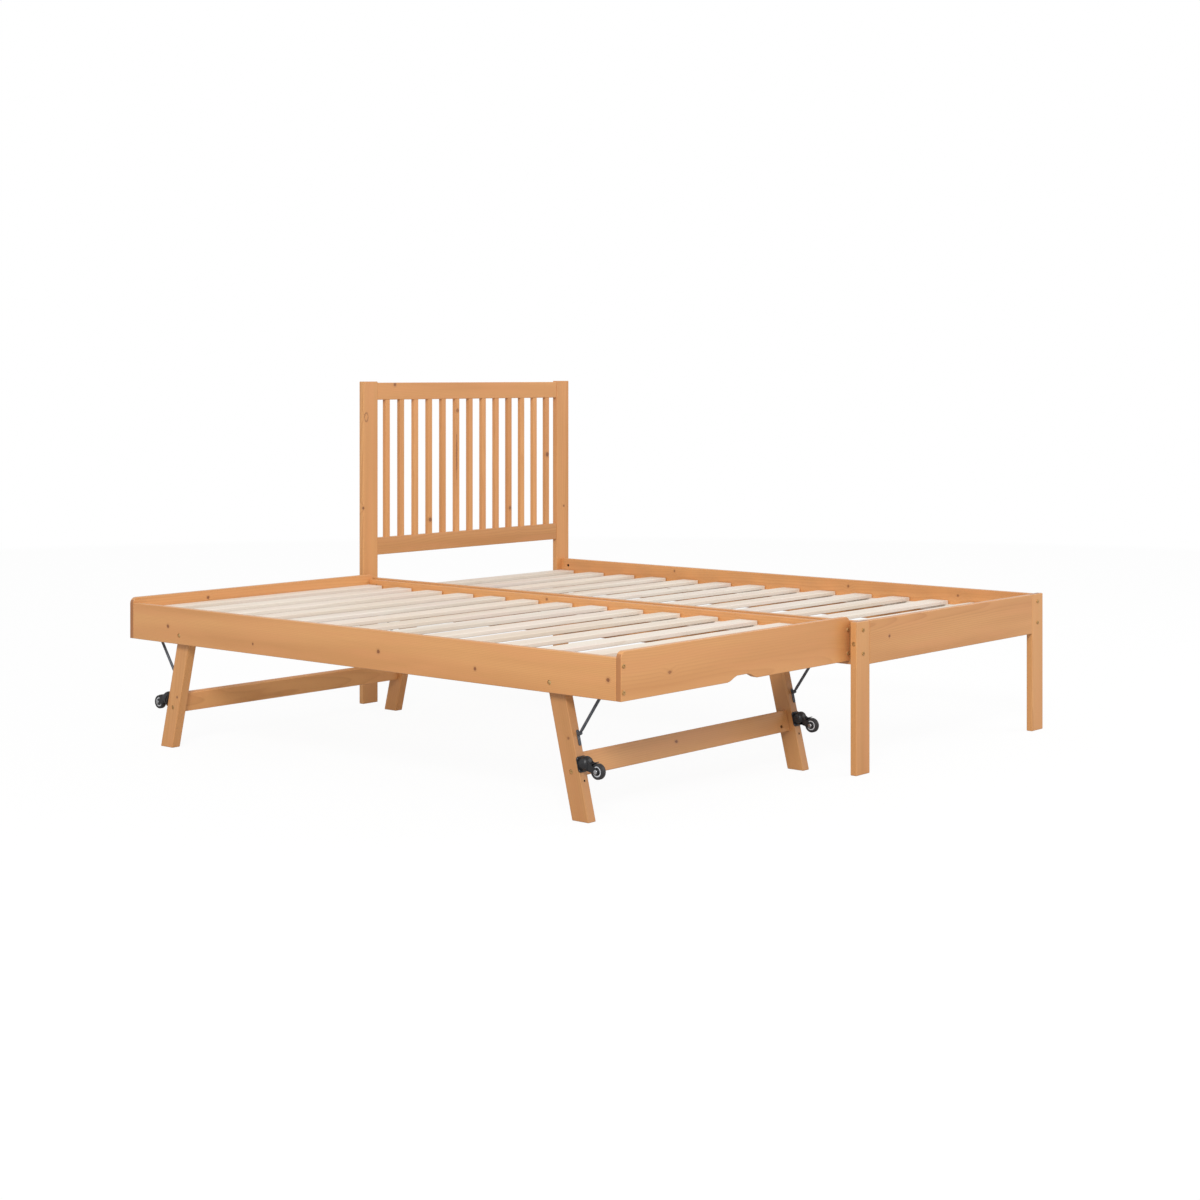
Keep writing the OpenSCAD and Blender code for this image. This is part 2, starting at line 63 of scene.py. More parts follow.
class Shader:
    """A material's node tree, written as expressions."""

    def __init__(self, name):
        self.material = bpy.data.materials.new(name)
        self.material.use_nodes = True
        self.nodes = self.material.node_tree.nodes
        self.links = self.material.node_tree.links
        self.surface = self.nodes["Principled BSDF"]

    def put(self, socket, value):
        if isinstance(value, bpy.types.NodeSocket):
            self.links.new(value, socket)
        elif socket.type == "RGBA" and len(value) == 3:
            socket.default_value = (*value, 1)
        else:
            socket.default_value = value

    def node(self, kind, inputs=(), **settings):
        node = self.nodes.new(kind)
        for key, value in settings.items():
            setattr(node, key, value)
        for key, value in dict(inputs).items():
            self.put(node.inputs[key], value)
        return node

    def set(self, **values):
        for key, value in values.items():
            self.put(self.surface.inputs[key.replace("_", " ")], value)

    def attribute(self, name, output="Fac"):
        return self.node("ShaderNodeAttribute", attribute_name=name).outputs[output]

    def place(self):
        return self.node("ShaderNodeTexCoord").outputs["Object"]

    def maths(self, operation, *values, clamp=False):
        node = self.node("ShaderNodeMath", enumerate(values), operation=operation, use_clamp=clamp)
        return node.outputs[0]

    def vector(self, operation, *values, output=0):
        return self.node("ShaderNodeVectorMath", enumerate(values), operation=operation).outputs[output]

    def noise(self, at, stretch, detail=2.0, roughness=0.5, output="Fac"):
        at = self.vector("MULTIPLY", at, stretch)
        inputs = {"Vector": at, "Scale": 1.0, "Detail": detail, "Roughness": roughness}
        return self.node("ShaderNodeTexNoise", inputs).outputs[output]

    def curve(self, value, *stops):
        """A number that follows (position, number) stops."""
        ramp = self.node("ShaderNodeValToRGB", {"Fac": value})
        points = ramp.color_ramp.elements
        while len(points) < len(stops):
            points.new(0.5)
        for point, (position, number) in zip(points, stops):
            point.position = position
            point.color = (number, number, number, 1)
        return ramp.outputs["Color"]

    def mix(self, factor, a, b, blend="MIX"):
        node = self.node("ShaderNodeMix", data_type="RGBA", blend_type=blend, clamp_factor=True)
        self.put(node.inputs[0], factor)
        self.put(node.inputs[6], a)
        self.put(node.inputs[7], b)
        return node.outputs[2]

    def bump(self, height, distance, strength=1.0):
        inputs = {"Height": height, "Distance": distance, "Strength": strength}
        return self.node("ShaderNodeBump", inputs).outputs["Normal"]


def pine(name, light, late, deep, knots=(), pin_knots=0.0, ring=1.0, shine=0.38, lacquer=0.0):
    """Pine whose growth rings, rays and knots run through the board in the "grain" space.
    Knots are (x, y, z, radius, stretch, paleness or "ring") in the row frame, the last two if
    they need them."""
    s = Shader(name)
    grain = s.attribute("grain", "Vector")
    shade = s.attribute("shade")
    end = s.attribute("end")
    sway = s.noise(grain, (1.3, 7, 7), detail=2)
    wide = s.noise(grain, (0.9, 16, 16), detail=1)
    x = s.node("ShaderNodeSeparateXYZ", {0: grain}).outputs
    radius = s.maths("SQRT", s.maths("ADD", s.maths("MULTIPLY", x[1], x[1]),
                                     s.maths("MULTIPLY", x[2], x[2])))
    radius = s.maths("MULTIPLY_ADD", x[0], 0.012, radius)
    radius = s.maths("MULTIPLY_ADD", sway, 0.030, radius)

    # Knots push the rings aside
    heart = None
    if knots:
        place = s.place()
        rough_edge = s.noise(place, (260, 260, 260), detail=2)
        for kx, ky, kz, kr, *more in knots:
            squash = more[0] if more else (1, 1, 1)
            centre = [a * b for a, b in zip((kx, ky, kz), squash)]
            away = s.vector("DISTANCE", s.vector("MULTIPLY", place, squash), centre, output="Value")
            away = s.maths("DIVIDE", away, kr)
            away = s.maths("MULTIPLY_ADD", s.maths("SUBTRACT", rough_edge, 0.5), 0.9, away)
            if more[1:] == ["ring"]:
                off_ring = s.maths("ABSOLUTE", s.maths("SUBTRACT", away, 1.0))
                away = s.maths("MULTIPLY_ADD", off_ring, 3.0, 0.75)
            elif len(more) > 1:
                away = s.maths("ADD", away, more[1])
            heart = away if heart is None else s.maths("MINIMUM", heart, away)
    if pin_knots:
        cells = s.node("ShaderNodeTexVoronoi", {"Vector": s.vector("MULTIPLY", grain, (5.5, 11, 11)),
                                                "Scale": 1.0, "Randomness": 1.0})
        chosen = s.maths("LESS_THAN", s.node("ShaderNodeSeparateColor",
                                             {0: cells.outputs["Color"]}).outputs[0], pin_knots)
        away = s.maths("DIVIDE", cells.outputs["Distance"], 0.055)
        away = s.maths("ADD", away, s.maths("MULTIPLY", s.maths("SUBTRACT", 1.0, chosen), 50.0))
        heart = away if heart is None else s.maths("MINIMUM", heart, away)
    if heart is not None:
        push = s.curve(s.maths("DIVIDE", heart, 7.0, clamp=True), (0.0, 1.0), (0.30, 0.35), (0.8, 0.0))
        radius = s.maths("MULTIPLY_ADD", push, 0.010, radius)

    year = s.maths("FRACT", s.maths("MULTIPLY", radius, 225.0))
    rings = s.curve(year, (0.0, 0.05), (0.45, 0.12), (0.80, 0.60), (0.93, 1.0), (1.0, 0.05))
    fibre = s.noise(grain, (9, 520, 520), detail=3, roughness=0.6)
    pores = s.noise(grain, (28, 1500, 1500), detail=1)
    fade = s.noise(grain, (0.7, 3, 3), detail=1)

    dark = s.maths("MULTIPLY", rings, s.maths("MULTIPLY_ADD", fade, 1.10 * ring, 0.02))
    dark = s.maths("MULTIPLY_ADD", s.maths("SUBTRACT", fibre, 0.5), 0.46, dark)
    colour = s.mix(dark, light, late)
    colour = s.mix(s.maths("MULTIPLY", s.curve(wide, (0.40, 0.0), (0.68, 1.0)), 0.62), colour, late)
    blush = s.noise(grain, (3.2, 30, 30), detail=2)
    pink = [light[0] * 0.97, light[1] * 0.86, light[2] * 0.90]
    colour = s.mix(s.maths("MULTIPLY", s.curve(blush, (0.44, 0.0), (0.66, 1.0)), 0.42), colour, pink)
    colour = s.mix(s.maths("MULTIPLY", end, 0.80), colour, deep)
    if heart is not None:
        # Brown core, a darker rim and a soft halo
        core = s.curve(s.maths("DIVIDE", heart, 4.0, clamp=True),
                       (0.0, 0.88), (0.15, 0.78), (0.21, 0.96), (0.28, 0.26), (0.55, 0.0))
        colour = s.mix(core, colour, [deep[0] * 0.50, deep[1] * 0.36, deep[2] * 0.30])
    colour = s.mix(s.maths("MULTIPLY", s.curve(shade, (0.35, 0.0), (1.0, 1.0)), 0.30), colour, late)
    tone = s.maths("MULTIPLY_ADD", shade, 0.10, 0.96)
    colour = s.mix(1.0, colour, s.node("ShaderNodeCombineColor", {0: tone, 1: tone, 2: tone}).outputs[0],
                   "MULTIPLY")
    rough = s.maths("MULTIPLY_ADD", fibre, 0.22, shine - 0.08)
    rough = s.maths("MULTIPLY_ADD", rings, -0.05, rough)
    height = s.maths("ADD", s.maths("MULTIPLY", fibre, 0.5), s.maths("MULTIPLY", pores, 0.5))
    height = s.maths("MULTIPLY_ADD", rings, 0.35, height)
    s.set(Base_Color=colour, Roughness=rough, Normal=s.bump(height, 0.00012, 0.45),
          Coat_Weight=lacquer, Coat_Roughness=0.22)
    return s.material


def metal(name, colour, worn, roughness, metallic=1.0):
    """Plated or painted metal: smudges in the gloss and paler, worn high spots."""
    s = Shader(name)
    place = s.place()
    smudge = s.noise(place, (90, 90, 90), detail=4, roughness=0.6)
    speck = s.noise(place, (900, 900, 900), detail=2)
    wear = s.curve(s.maths("MULTIPLY_ADD", speck, 0.4, s.maths("MULTIPLY", smudge, 0.6)),
                   (0.50, 0.0), (0.66, 1.0))
    s.set(Base_Color=s.mix(wear, colour, worn), Metallic=metallic,
          Roughness=s.maths("MULTIPLY_ADD", smudge, 0.30, roughness - 0.15),
          Normal=s.bump(speck, 0.00004, 0.5))
    return s.material


def plastic(name, colour, roughness, grit=0.00005):
    """Moulded plastic with a fine, even texture."""
    s = Shader(name)
    place = s.place()
    cloud = s.noise(place, (45, 45, 45), detail=3)
    grain = s.noise(place, (1600, 1600, 1600), detail=2)
    pale = [min(1.0, c * 1.6 + 0.01) for c in colour]
    s.set(Base_Color=s.mix(s.maths("MULTIPLY", cloud, 0.5), colour, pale),
          Roughness=s.maths("MULTIPLY_ADD", cloud, 0.25, roughness - 0.12),
          Normal=s.bump(grain, grit, 0.6))
    return s.material


LIGHT, LATE, DEEP = (0.745, 0.375, 0.140), (0.55, 0.235, 0.075), (0.34, 0.125, 0.042)
HONEY = {"light": LIGHT, "late": LATE, "deep": DEEP, "shine": 0.36, "lacquer": 0.25}
RAW = {"light": (0.87, 0.80, 0.705), "late": (0.68, 0.56, 0.44), "deep": (0.55, 0.40, 0.26),
       "shine": 0.62, "lacquer": 0.0, "ring": 0.55}
honey = pine("honey_pine", **HONEY)
raw = pine("raw_pine", pin_knots=0.10, **RAW)
bronze = metal("antique_bronze", (0.46, 0.26, 0.095), (0.74, 0.50, 0.22), 0.36, metallic=0.40)
dark_bronze = metal("dark_bronze", (0.050, 0.030, 0.018), (0.14, 0.09, 0.05), 0.50)
zinc = metal("zinc_plate", (0.42, 0.43, 0.45), (0.68, 0.69, 0.70), 0.34)
steel = metal("dark_steel", (0.085, 0.094, 0.112), (0.17, 0.18, 0.20), 0.42, metallic=0.45)
black = plastic("black_plastic", (0.012, 0.012, 0.014), 0.38)
tyre = plastic("tyre", (0.020, 0.020, 0.022), 0.52, grit=0.0001)
grey = plastic("grey_plastic", (0.52, 0.53, 0.55), 0.36)


# ---------------------------------------------------------------- mesh tools


def mesh_object(name, build):
    bm = bmesh.new()
    build(bm)
    bmesh.ops.recalc_face_normals(bm, faces=bm.faces)
    data = bpy.data.meshes.new(name)
    bm.to_mesh(data)
    bm.free()
    piece = bpy.data.objects.new(name, data)
    bpy.context.scene.collection.objects.link(piece)
    return piece


def bake(piece):
    """Applies a piece's modifiers to its mesh."""
    bpy.context.view_layer.update()
    data = bpy.data.meshes.new_from_object(piece.evaluated_get(bpy.context.evaluated_depsgraph_get()))
    piece.modifiers.clear()
    piece.data = data
    return piece


def round_edges(piece, width, segments=3, angle=35):
    piece.modifiers.new("edges", "BEVEL")
    edges = piece.modifiers["edges"]
    edges.width, edges.segments = width, segments
    edges.limit_method, edges.angle_limit = "ANGLE", math.radians(angle)
    return bake(piece)


def drill(piece, holes):
    """Cuts (centre, direction, radius, depth) holes: each goes depth along direction."""
    cutters = []
    for i, (centre, direction, radius, depth) in enumerate(holes):
        direction = Vector(direction).normalized()
        lead = 0.004
        turn = direction.to_track_quat("Z", "Y").to_matrix().to_4x4()
        place = Matrix.Translation(Vector(centre) + direction * (depth - lead) / 2) @ turn
        cutter = mesh_object("cutter", lambda bm: bmesh.ops.create_cone(
            bm, cap_ends=True, segments=32, radius1=radius, radius2=radius, depth=depth + lead,
            matrix=place))
        cut = piece.modifiers.new(f"hole{i}", "BOOLEAN")
        cut.object, cut.operation, cut.solver = cutter, "DIFFERENCE", "EXACT"
        cutters.append(cutter)
    bake(piece)
    for cutter in cutters:
        bpy.data.objects.remove(cutter)
    return piece


def smooth(piece, angle=38):
    piece.data.shade_smooth()
    piece.data.set_sharp_from_angle(angle=math.radians(angle))
    weights = piece.modifiers.new("normals", "WEIGHTED_NORMAL")
    weights.keep_sharp = True
    return piece


def grain(piece, along, parts=None):
    """Gives each board of a piece its own stretch of wood. along is the grain's direction."""
    data = piece.data
    along = Vector(along).normalized()
    across = along.orthogonal().normalized()
    through = along.cross(across)
    if parts is None:
        parts = [0] * len(data.vertices)
    lots = {}
    for part in sorted(set(parts)):
        spin = rng.uniform(0, math.tau)
        reach = rng.uniform(0.05, 0.15)
        lots[part] = (Vector((rng.uniform(0, 40), reach * math.cos(spin), reach * math.sin(spin))),
                      rng.random())
    middle = {}
    for part in lots:
        points = [v.co for v, p in zip(data.vertices, parts) if p == part]
        middle[part] = sum(points, Vector()) / len(points)
    data.attributes.new("grain", "FLOAT_VECTOR", "POINT")
    data.attributes.new("shade", "FLOAT", "POINT")
    data.attributes.new("end", "FLOAT", "FACE")
    values, shades = [], []
    for vertex, part in zip(data.vertices, parts):
        offset, tint = lots[part]
        local = vertex.co - middle[part]
        values.extend(Vector((local.dot(along), local.dot(across), local.dot(through))) + offset)
        shades.append(tint)
    data.attributes["grain"].data.foreach_set("vector", values)
    data.attributes["shade"].data.foreach_set("value", shades)
    data.attributes["end"].data.foreach_set("value", [
        1.0 if abs(f.normal.dot(along)) > 0.8 else 0.0 for f in data.polygons])
    return piece


def finish_piece(piece, material, slot, body, *nodes):
    piece.data.materials.clear()
    piece.data.materials.append(material)
    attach(piece, body)
    if nodes:
        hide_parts(*nodes)
    return piece


def add_box(bm, low, high):
    size = [h - l for l, h in zip(low, high)]
    middle = [(l + h) / 2 for l, h in zip(low, high)]
    place = Matrix.Translation(middle) @ Matrix.Diagonal((*size, 1))
    return bmesh.ops.create_cube(bm, size=1, matrix=place)


def add_prism(bm, outline, thickness, place=Matrix()):
    """Extrudes an outline of (y, z) points along X, centred on x = 0, then moves it to place."""
    layers = []
    for x in (-thickness / 2, thickness / 2):
        layers.append([bm.verts.new(place @ Vector((x, y, z))) for y, z in outline])
    bm.faces.new(layers[0][::-1])
    bm.faces.new(layers[1])
    for i in range(len(outline)):
        j = (i + 1) % len(outline)
        bm.faces.new((layers[0][i], layers[0][j], layers[1][j], layers[1][i]))


def add_turned(bm, profile, place=Matrix(), segments=48, hexagon=()):
    """Turns a profile of (radius, height) points about Z. Rings listed in hexagon are six-sided."""
    rings = []
    for i, (r, z) in enumerate(profile):
        if r < 1e-6:
            rings.append([bm.verts.new(place @ Vector((0, 0, z)))])
            continue
        ring = []
        for k in range(segments):
            a = math.tau * k / segments
            reach = r / math.cos((a % (math.pi / 3)) - math.pi / 6) if i in hexagon else r
            ring.append(bm.verts.new(place @ Vector((reach * math.cos(a), reach * math.sin(a), z))))
        rings.append(ring)
    for a, b in zip(rings, rings[1:]):
        for k in range(segments):
            j = (k + 1) % segments
            face = [a[k % len(a)], a[j % len(a)], b[j % len(b)], b[k % len(b)]]
            bm.faces.new(list(dict.fromkeys(face)))


def onto_xz(y):
    """Lays a prism's (y, z) outline in the (x, z) plane, with its thickness centred on y."""
    return Matrix(((0, 1, 0, 0), (1, 0, 0, y), (0, 0, 1, 0), (0, 0, 0, 1)))


def arc(cx, cy, r, start, stop, steps):
    """Points on an arc, with the angles in degrees."""
    return [(cx + r * math.cos(math.radians(start + (stop - start) * i / steps)),
             cy + r * math.sin(math.radians(start + (stop - start) * i / steps)))
            for i in range(steps + 1)]


def facing(point, direction, spin=0.0):
    """Frame at a point whose Z is direction."""
    turn = Vector(direction).to_track_quat("Z", "Y").to_matrix().to_4x4()
    return Matrix.Translation(Vector(point)) @ turn @ Matrix.Rotation(spin, 4, "Z")


def socket_head(bm, point, direction, radius, height, socket):
    """Head of a bolt with a six-sided socket, standing on point."""
    profile = [(0, height * 0.35), (socket, height * 0.35), (socket, height * 0.94),
               (socket * 1.18, height), (radius * 0.72, height), (radius * 0.92, height * 0.82),
               (radius, height * 0.45), (radius, 0), (0, 0)]
    add_turned(bm, profile, facing(point, direction, rng.uniform(0, math.tau)), 48, {1, 2})


def screw_head(bm, point, direction, radius, height):
    """Low domed screw head, standing on point."""
    place = facing(point, direction, rng.uniform(0, math.tau))
    add_turned(bm, [(0, height), (radius * 0.45, height * 0.96), (radius * 0.8, height * 0.6),
                    (radius, 0), (0, 0)], place, 24)


# ---------------------------------------------------------------- boards


def middle_of(node):
    low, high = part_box(node)
    return (low + high) / 2


def longest(low, high):
    size = high - low
    return Vector([1.0 if i == max(range(3), key=lambda k: size[k]) else 0.0 for i in range(3)])


def board(node, body, material=None, slot="honey_pine", holes=(), edge=0.0022, trim=(0, 0, 0)):
    """Replaces a CAD board by a planed one. trim shortens it at both ends, for hidden tenons."""
    low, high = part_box(node)
    trim = Vector(trim)
    piece = mesh_object(node + "_wood", lambda bm: add_box(bm, low + trim, high - trim))
    round_edges(piece, edge)
    if holes:
        drill(piece, holes)
    grain(piece, longest(low, high))
    smooth(piece)
    return finish_piece(piece, material or honey, slot, body, node)


BOLT_Z = (0.336, 0.401)                 # heights of the side rails' bolts
NUT_IN = 0.036                          # barrel nut's distance from its board's end
NUT_HOLE = (0.0053, 0.004)              # radius and depth of the hole over a barrel nut
HEAD_HOLE = (0.0061, 0.003)             # the same for a sunk bolt head
PIVOT_HOLE = (0.0063, 0.0035)           # and for a leg's pivot bolt
NUT_SINK, HEAD_SINK = 0.0034, 0.003     # how deep the nuts' ends and the sunk heads lie
BOLT_HEAD = (0.00575, 0.0025, 0.0022)   # radius, height and socket radius of a bolt's head
PIVOT_HEAD = (0.006, 0.0025, 0.0024)
knot_count = 0


def knotty(*knots, tone=1.0):
    """Pine with its own knots, darker or paler by tone."""
    global knot_count
    knot_count += 1
    look = {k: [c * tone for c in v] if k in ("light", "late", "deep") else v for k, v in HONEY.items()}
    return pine(f"honey_pine_knots_{knot_count}", knots=knots, **look)


# Main bed: posts, rails, headboard and foot board
lp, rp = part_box("head_post_left"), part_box("head_post_right")
post_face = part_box("foot_post_left")[0].y
head_face = lp[1].y
front = lp[0].y                                        # face of the headboard's posts
panel_z = middle_of("foot_board").z

board("head_post_left", "main_bed", knotty(
    (lp[0].x - 0.0005, front, 0.659, 0.0045), (-0.024, front, 0.965, 0.0120, (1.5, 1, 0.85), "ring")))
board("head_post_right", "main_bed", knotty((rp[0].x + 0.040, front, 0.62, 0.0035)))
for side in SIDES:
    low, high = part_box(f"foot_post_{side}")
    outer = low.x if side == "left" else high.x
    inwards = (-SIDES[side], 0, 0)
    board(f"foot_post_{side}", "main_bed",
          holes=[((outer, middle_of("foot_board").y, panel_z), inwards, *HEAD_HOLE)])
    low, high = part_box(f"main_side_rail_{side}")
    inner = high.x if side == "left" else low.x
    holes = [((inner, y + (NUT_IN if y < 0 else -NUT_IN), z), (SIDES[side], 0, 0), *NUT_HOLE)
             for y in (low.y, high.y) for z in BOLT_Z]
    material = knotty((inner, 0.44, 0.410, 0.0035), (inner, -0.30, 0.404, 0.0040),
                      (inner, -0.72, 0.401, 0.0035)) if side == "right" else knotty(
                          ((low.x + high.x) / 2, -0.60, 0.425, 0.0045), (outer, 0.5, 0.36, 0.0050))
    board(f"main_side_rail_{side}", "main_bed", material, holes=holes)
    board(f"main_ledge_{side}", "main_bed", raw, "raw_pine", edge=0.001)

low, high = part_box("foot_board")
board("foot_board", "main_bed",
      knotty((low.x + 0.10, low.y, 0.372, 0.0040), (0.62, high.y, 0.35, 0.0045)),
      holes=[((x, high.y, panel_z), (0, -1, 0), *NUT_HOLE)
             for x in (low.x + NUT_IN, high.x - NUT_IN)])
low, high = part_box("headboard_top_rail")
board("headboard_top_rail", "main_bed", knotty((0.11, low.y, 1.0745, 0.0055),
                                               (low.x + 0.62, high.y, low.z + 0.020, 0.0045)))
board("headboard_bottom_rail", "main_bed", knotty((low.x + 0.70, high.y, 0.53, 0.0050), tone=0.84))


SLAT_W, SPINDLE_W = 0.066, 0.021


def boards(node, body, count, width, axis, material, slot, edge, along, trim=(0, 0, 0)):
    """Replaces a CAD node of equal boards in a row by one piece of as many planed boards."""
    low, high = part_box(node)
    low, high = low + Vector(trim), high - Vector(trim)
    length = high[axis] - low[axis]
    pitch = (length - width) / (count - 1)

    def build(bm):
        for i in range(count):
            a, b = low.copy(), high.copy()
            a[axis] = low[axis] + i * pitch
            b[axis] = a[axis] + width
            add_box(bm, a, b)

    piece = mesh_object(node + "_wood", build)
    round_edges(piece, edge)
    parts = [round((v.co[axis] - low[axis] - width / 2) / pitch) for v in piece.data.vertices]
    grain(piece, along, parts)
    smooth(piece)
    return finish_piece(piece, material, slot, body, node)


low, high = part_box("headboard_spindles")
spindle_y = low.y
boards("headboard_spindles", "main_bed", 13, SPINDLE_W, 0,
       knotty((0.416, spindle_y, 0.982, 0.0065), (0.281, spindle_y, 0.604, 0.0068),
              (0.687, spindle_y, 0.626, 0.0056), (0.889, spindle_y, 0.8135, 0.0072),
              (0.412, spindle_y, 0.823, 0.0060, (1, 1, 0.040), 0.50)),
       "honey_pine", 0.0018, (0, 0, 1), (0, 0, 0.008))
boards("main_slats", "main_bed", 14, SLAT_W, 1, raw, "raw_pine", 0.0020, (1, 0, 0))
boards("trundle_slats", "trundle", 14, SLAT_W, 1, raw, "raw_pine", 0.0020, (1, 0, 0))

# Trundle: side rails, end boards and ledges
pivots = [Vector(JOINTS[f"{e}_legs_fold"]["pos_m"]) for e in ENDS]
for side in SIDES:
    low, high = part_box(f"trundle_side_rail_{side}")
    outer, inner = (low.x, high.x) if side == "left" else (high.x, low.x)
    inwards = (-SIDES[side], 0, 0)
    holes = [((outer, p.y, p.z), inwards, *PIVOT_HOLE) for p in pivots]
    holes += [((inner, y + (NUT_IN if y < 0 else -NUT_IN), z), (SIDES[side], 0, 0), *NUT_HOLE)
              for y in (low.y, high.y) for z in BOLT_Z]
    knots = [(outer, 0.786, 0.364, 0.0046), (outer, 0.402, 0.343, 0.0030), (outer, -0.114, 0.365, 0.0048),
             (outer, -0.474, 0.351, 0.0042),
             (outer, -0.924, 0.364, 0.0050)] if side == "left" else [(inner, 0.15, 0.41, 0.0040)]
    board(f"trundle_side_rail_{side}", "trundle", knotty(*knots), holes=holes)
    board(f"trundle_ledge_{side}", "trundle", raw, "raw_pine", edge=0.001)


def end_board_outline(low, high):
    """(x, z) points round an end board, with its rounded top corners and the hand notch."""
    r, mid = 0.018, (low.x + high.x) / 2
    base = low.z
    points = [(low.x, base)]
    left = [(mid - 0.064, base), (mid - 0.052, base + 0.0030), (mid - 0.034, base + 0.0110),
            (mid - 0.024, base + 0.0140)]
    points += left
    points += [(2 * mid - x, z) for x, z in reversed(left)]
    points += [(high.x, base)]
    points += arc(high.x - r, high.z - r, r, 0, 90, 10)
    points += arc(low.x + r, high.z - r, r, 90, 180, 10)
    return points


for end in ENDS:
    low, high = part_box(f"trundle_{end}_board")
    outer = high.y if end == "head" else low.y
    outline = end_board_outline(low, high)
    flip = onto_xz((low.y + high.y) / 2)
    piece = mesh_object(f"trundle_{end}_board_wood",
                        lambda bm: add_prism(bm, outline, high.y - low.y, flip))
    round_edges(piece, 0.0018, 3, 28)
    grain(piece, (1, 0, 0))
    smooth(piece)
    knots = [(-0.816, outer, 0.367, 0.0036, (0.55, 1, 1))] if end == "foot" else [
        (-0.20, outer, 0.39, 0.0050), (-0.72, low.y, 0.415, 0.0045)]
    finish_piece(piece, knotty(*knots), "honey_pine", "trundle", f"trundle_{end}_board")

# ---------------------------------------------------------------- legs


def leg_frame(end, x):
    """Frame at a leg's pivot: +Y out of its outward face, -Z down the leg, +X the row's +X or -X."""
    pivot = Vector(JOINTS[f"{end}_legs_fold"]["pos_m"])
    swivel = Vector(JOINTS[f"castor_{end}_left_swivel"]["axis"])
    up = Vector((0, -swivel.z, swivel.y)) * ENDS[end]
    turn = Matrix((Vector((ENDS[end], 0, 0)), swivel, up)).transposed().to_4x4()
    return Matrix.Translation((x, pivot.y, pivot.z)) @ turn


def leg_x(end, side):
    return Vector(JOINTS[f"castor_{end}_{side}_swivel"]["pos_m"]).x


LEG_W, LEG_T, SPLAY = 0.053, 0.029, math.radians(14)
CROSS_H, CROSS_T = 0.058, 0.018
CROSS_AT, BOLT_AT = 0.212, 0.226        # from the pivot down the leg
for end, side in CORNERS:
    place = leg_frame(end, leg_x(end, side))
    out = Vector((SIDES[side], 0, 0))
    pivot_z = place.translation.z
    length, half = pivot_z / math.cos(SPLAY), LEG_W / 2
    rise = half * math.tan(SPLAY)
    outline = [(-half, -length + rise), (half, -length - rise)] + arc(0, 0, half, 0, 180, 18)
    piece = mesh_object(f"leg_{end}_{side}_wood", lambda bm: add_prism(bm, outline, LEG_T, place))
    round_edges(piece, 0.0022, 3, 28)
    bolt = place @ Vector((0, 0, -BOLT_AT)) + out * LEG_T / 2
    drill(piece, [(bolt, -out, *HEAD_HOLE)])
    grain(piece, place.to_3x3() @ Vector((0, 0, 1)))
    smooth(piece)
    spots = {("foot", "left"): (0.0115, 0.1436, 0.0032), ("head", "left"): (-0.012, 0.19, 0.0030),
             ("foot", "right"): (0.008, 0.30, 0.0032), ("head", "right"): (0.0, 0.27, 0.0032)}
    n, a, r = spots[end, side]
    knot = place @ Vector((0, n, -a)) + out * LEG_T / 2
    # Painted shade: the foot legs' wood is darkened to 0.78 for the shade that falls on them under the
    # rails.
    tone = 1.0 if end == "head" else 0.78
    finish_piece(piece, knotty((*knot, r), tone=tone), "honey_pine", f"{end}_legs", f"leg_{end}_{side}")

for end in ENDS:
    node = f"cross_rail_{end}"
    place = leg_frame(end, middle_of(node).x)
    low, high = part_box(node)
    length = high.x - low.x
    piece = mesh_object(node + "_wood", lambda bm: bmesh.ops.create_cube(
        bm, size=1, matrix=place @ Matrix.Translation((0, 0, -CROSS_AT)) @ Matrix.Diagonal(
            (length, CROSS_T, CROSS_H, 1))))
    round_edges(piece, 0.0022)
    face = place.to_3x3() @ Vector((0, 1, 0))
    holes = []
    for x in (low.x + NUT_IN, high.x - NUT_IN):
        local = Vector(((x - place.translation.x) * ENDS[end], CROSS_T / 2, -BOLT_AT))
        holes.append((place @ local, -face, *NUT_HOLE))
    drill(piece, holes)
    grain(piece, (1, 0, 0))
    smooth(piece)
    local = Vector(((-0.570 - place.translation.x) * ENDS[end], CROSS_T / 2, -CROSS_AT + 0.006))
    spot = place @ local
    # Painted shade and painted light: the foot cross rail's wood is darkened to 0.92 and the head cross
    # rail's lightened to 1.12, for how light falls on each.
    tone = 0.92 if end == "foot" else 1.12
    finish_piece(piece, knotty((*spot, 0.0034, (0.6, 1, 1)), tone=tone),
                 "honey_pine", f"{end}_legs", node)

# ---------------------------------------------------------------- bolts and screws


def hardware(name, build, material, slot, body, nodes=(), angle=38):
    piece = mesh_object(name, build)
    smooth(piece, angle)
    return finish_piece(piece, material, slot, body, *nodes)


def main_bolts(bm):
    for end, sign in ENDS.items():
        for side in SIDES:
            x = middle_of(f"main_side_rail_{side}").x
            for z in BOLT_Z:
                y = head_face if end == "head" else post_face
                socket_head(bm, (x, y, z), (0, sign, 0), *BOLT_HEAD)
    for side, sign in SIDES.items():
        low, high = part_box(f"foot_post_{side}")
        x = (low.x if side == "left" else high.x) - sign * HEAD_SINK
        socket_head(bm, (x, middle_of("foot_board").y, panel_z), (sign, 0, 0), *BOLT_HEAD)


def trundle_bolts(bm):
    for end, sign in ENDS.items():
        low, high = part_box(f"trundle_{end}_board")
        for side in SIDES:
            x = middle_of(f"trundle_side_rail_{side}").x
            for z in BOLT_Z:
                y = high.y if end == "head" else low.y
                socket_head(bm, (x, y, z), (0, sign, 0), *BOLT_HEAD)


hardware("main_bolt_heads", main_bolts, bronze, "bronze", "main_bed", ["main_bolts"])
hardware("trundle_bolt_heads", trundle_bolts, bronze, "bronze", "trundle", ["trundle_bolts"])


def nut_end(bm, point, direction):
    """End of a barrel nut, just under the wood's face."""
    add_turned(bm, [(0, 0), (0.0047, 0), (0.0050, -0.0004), (0.0050, -0.003), (0, -0.003)],
               facing(point, direction), 32)


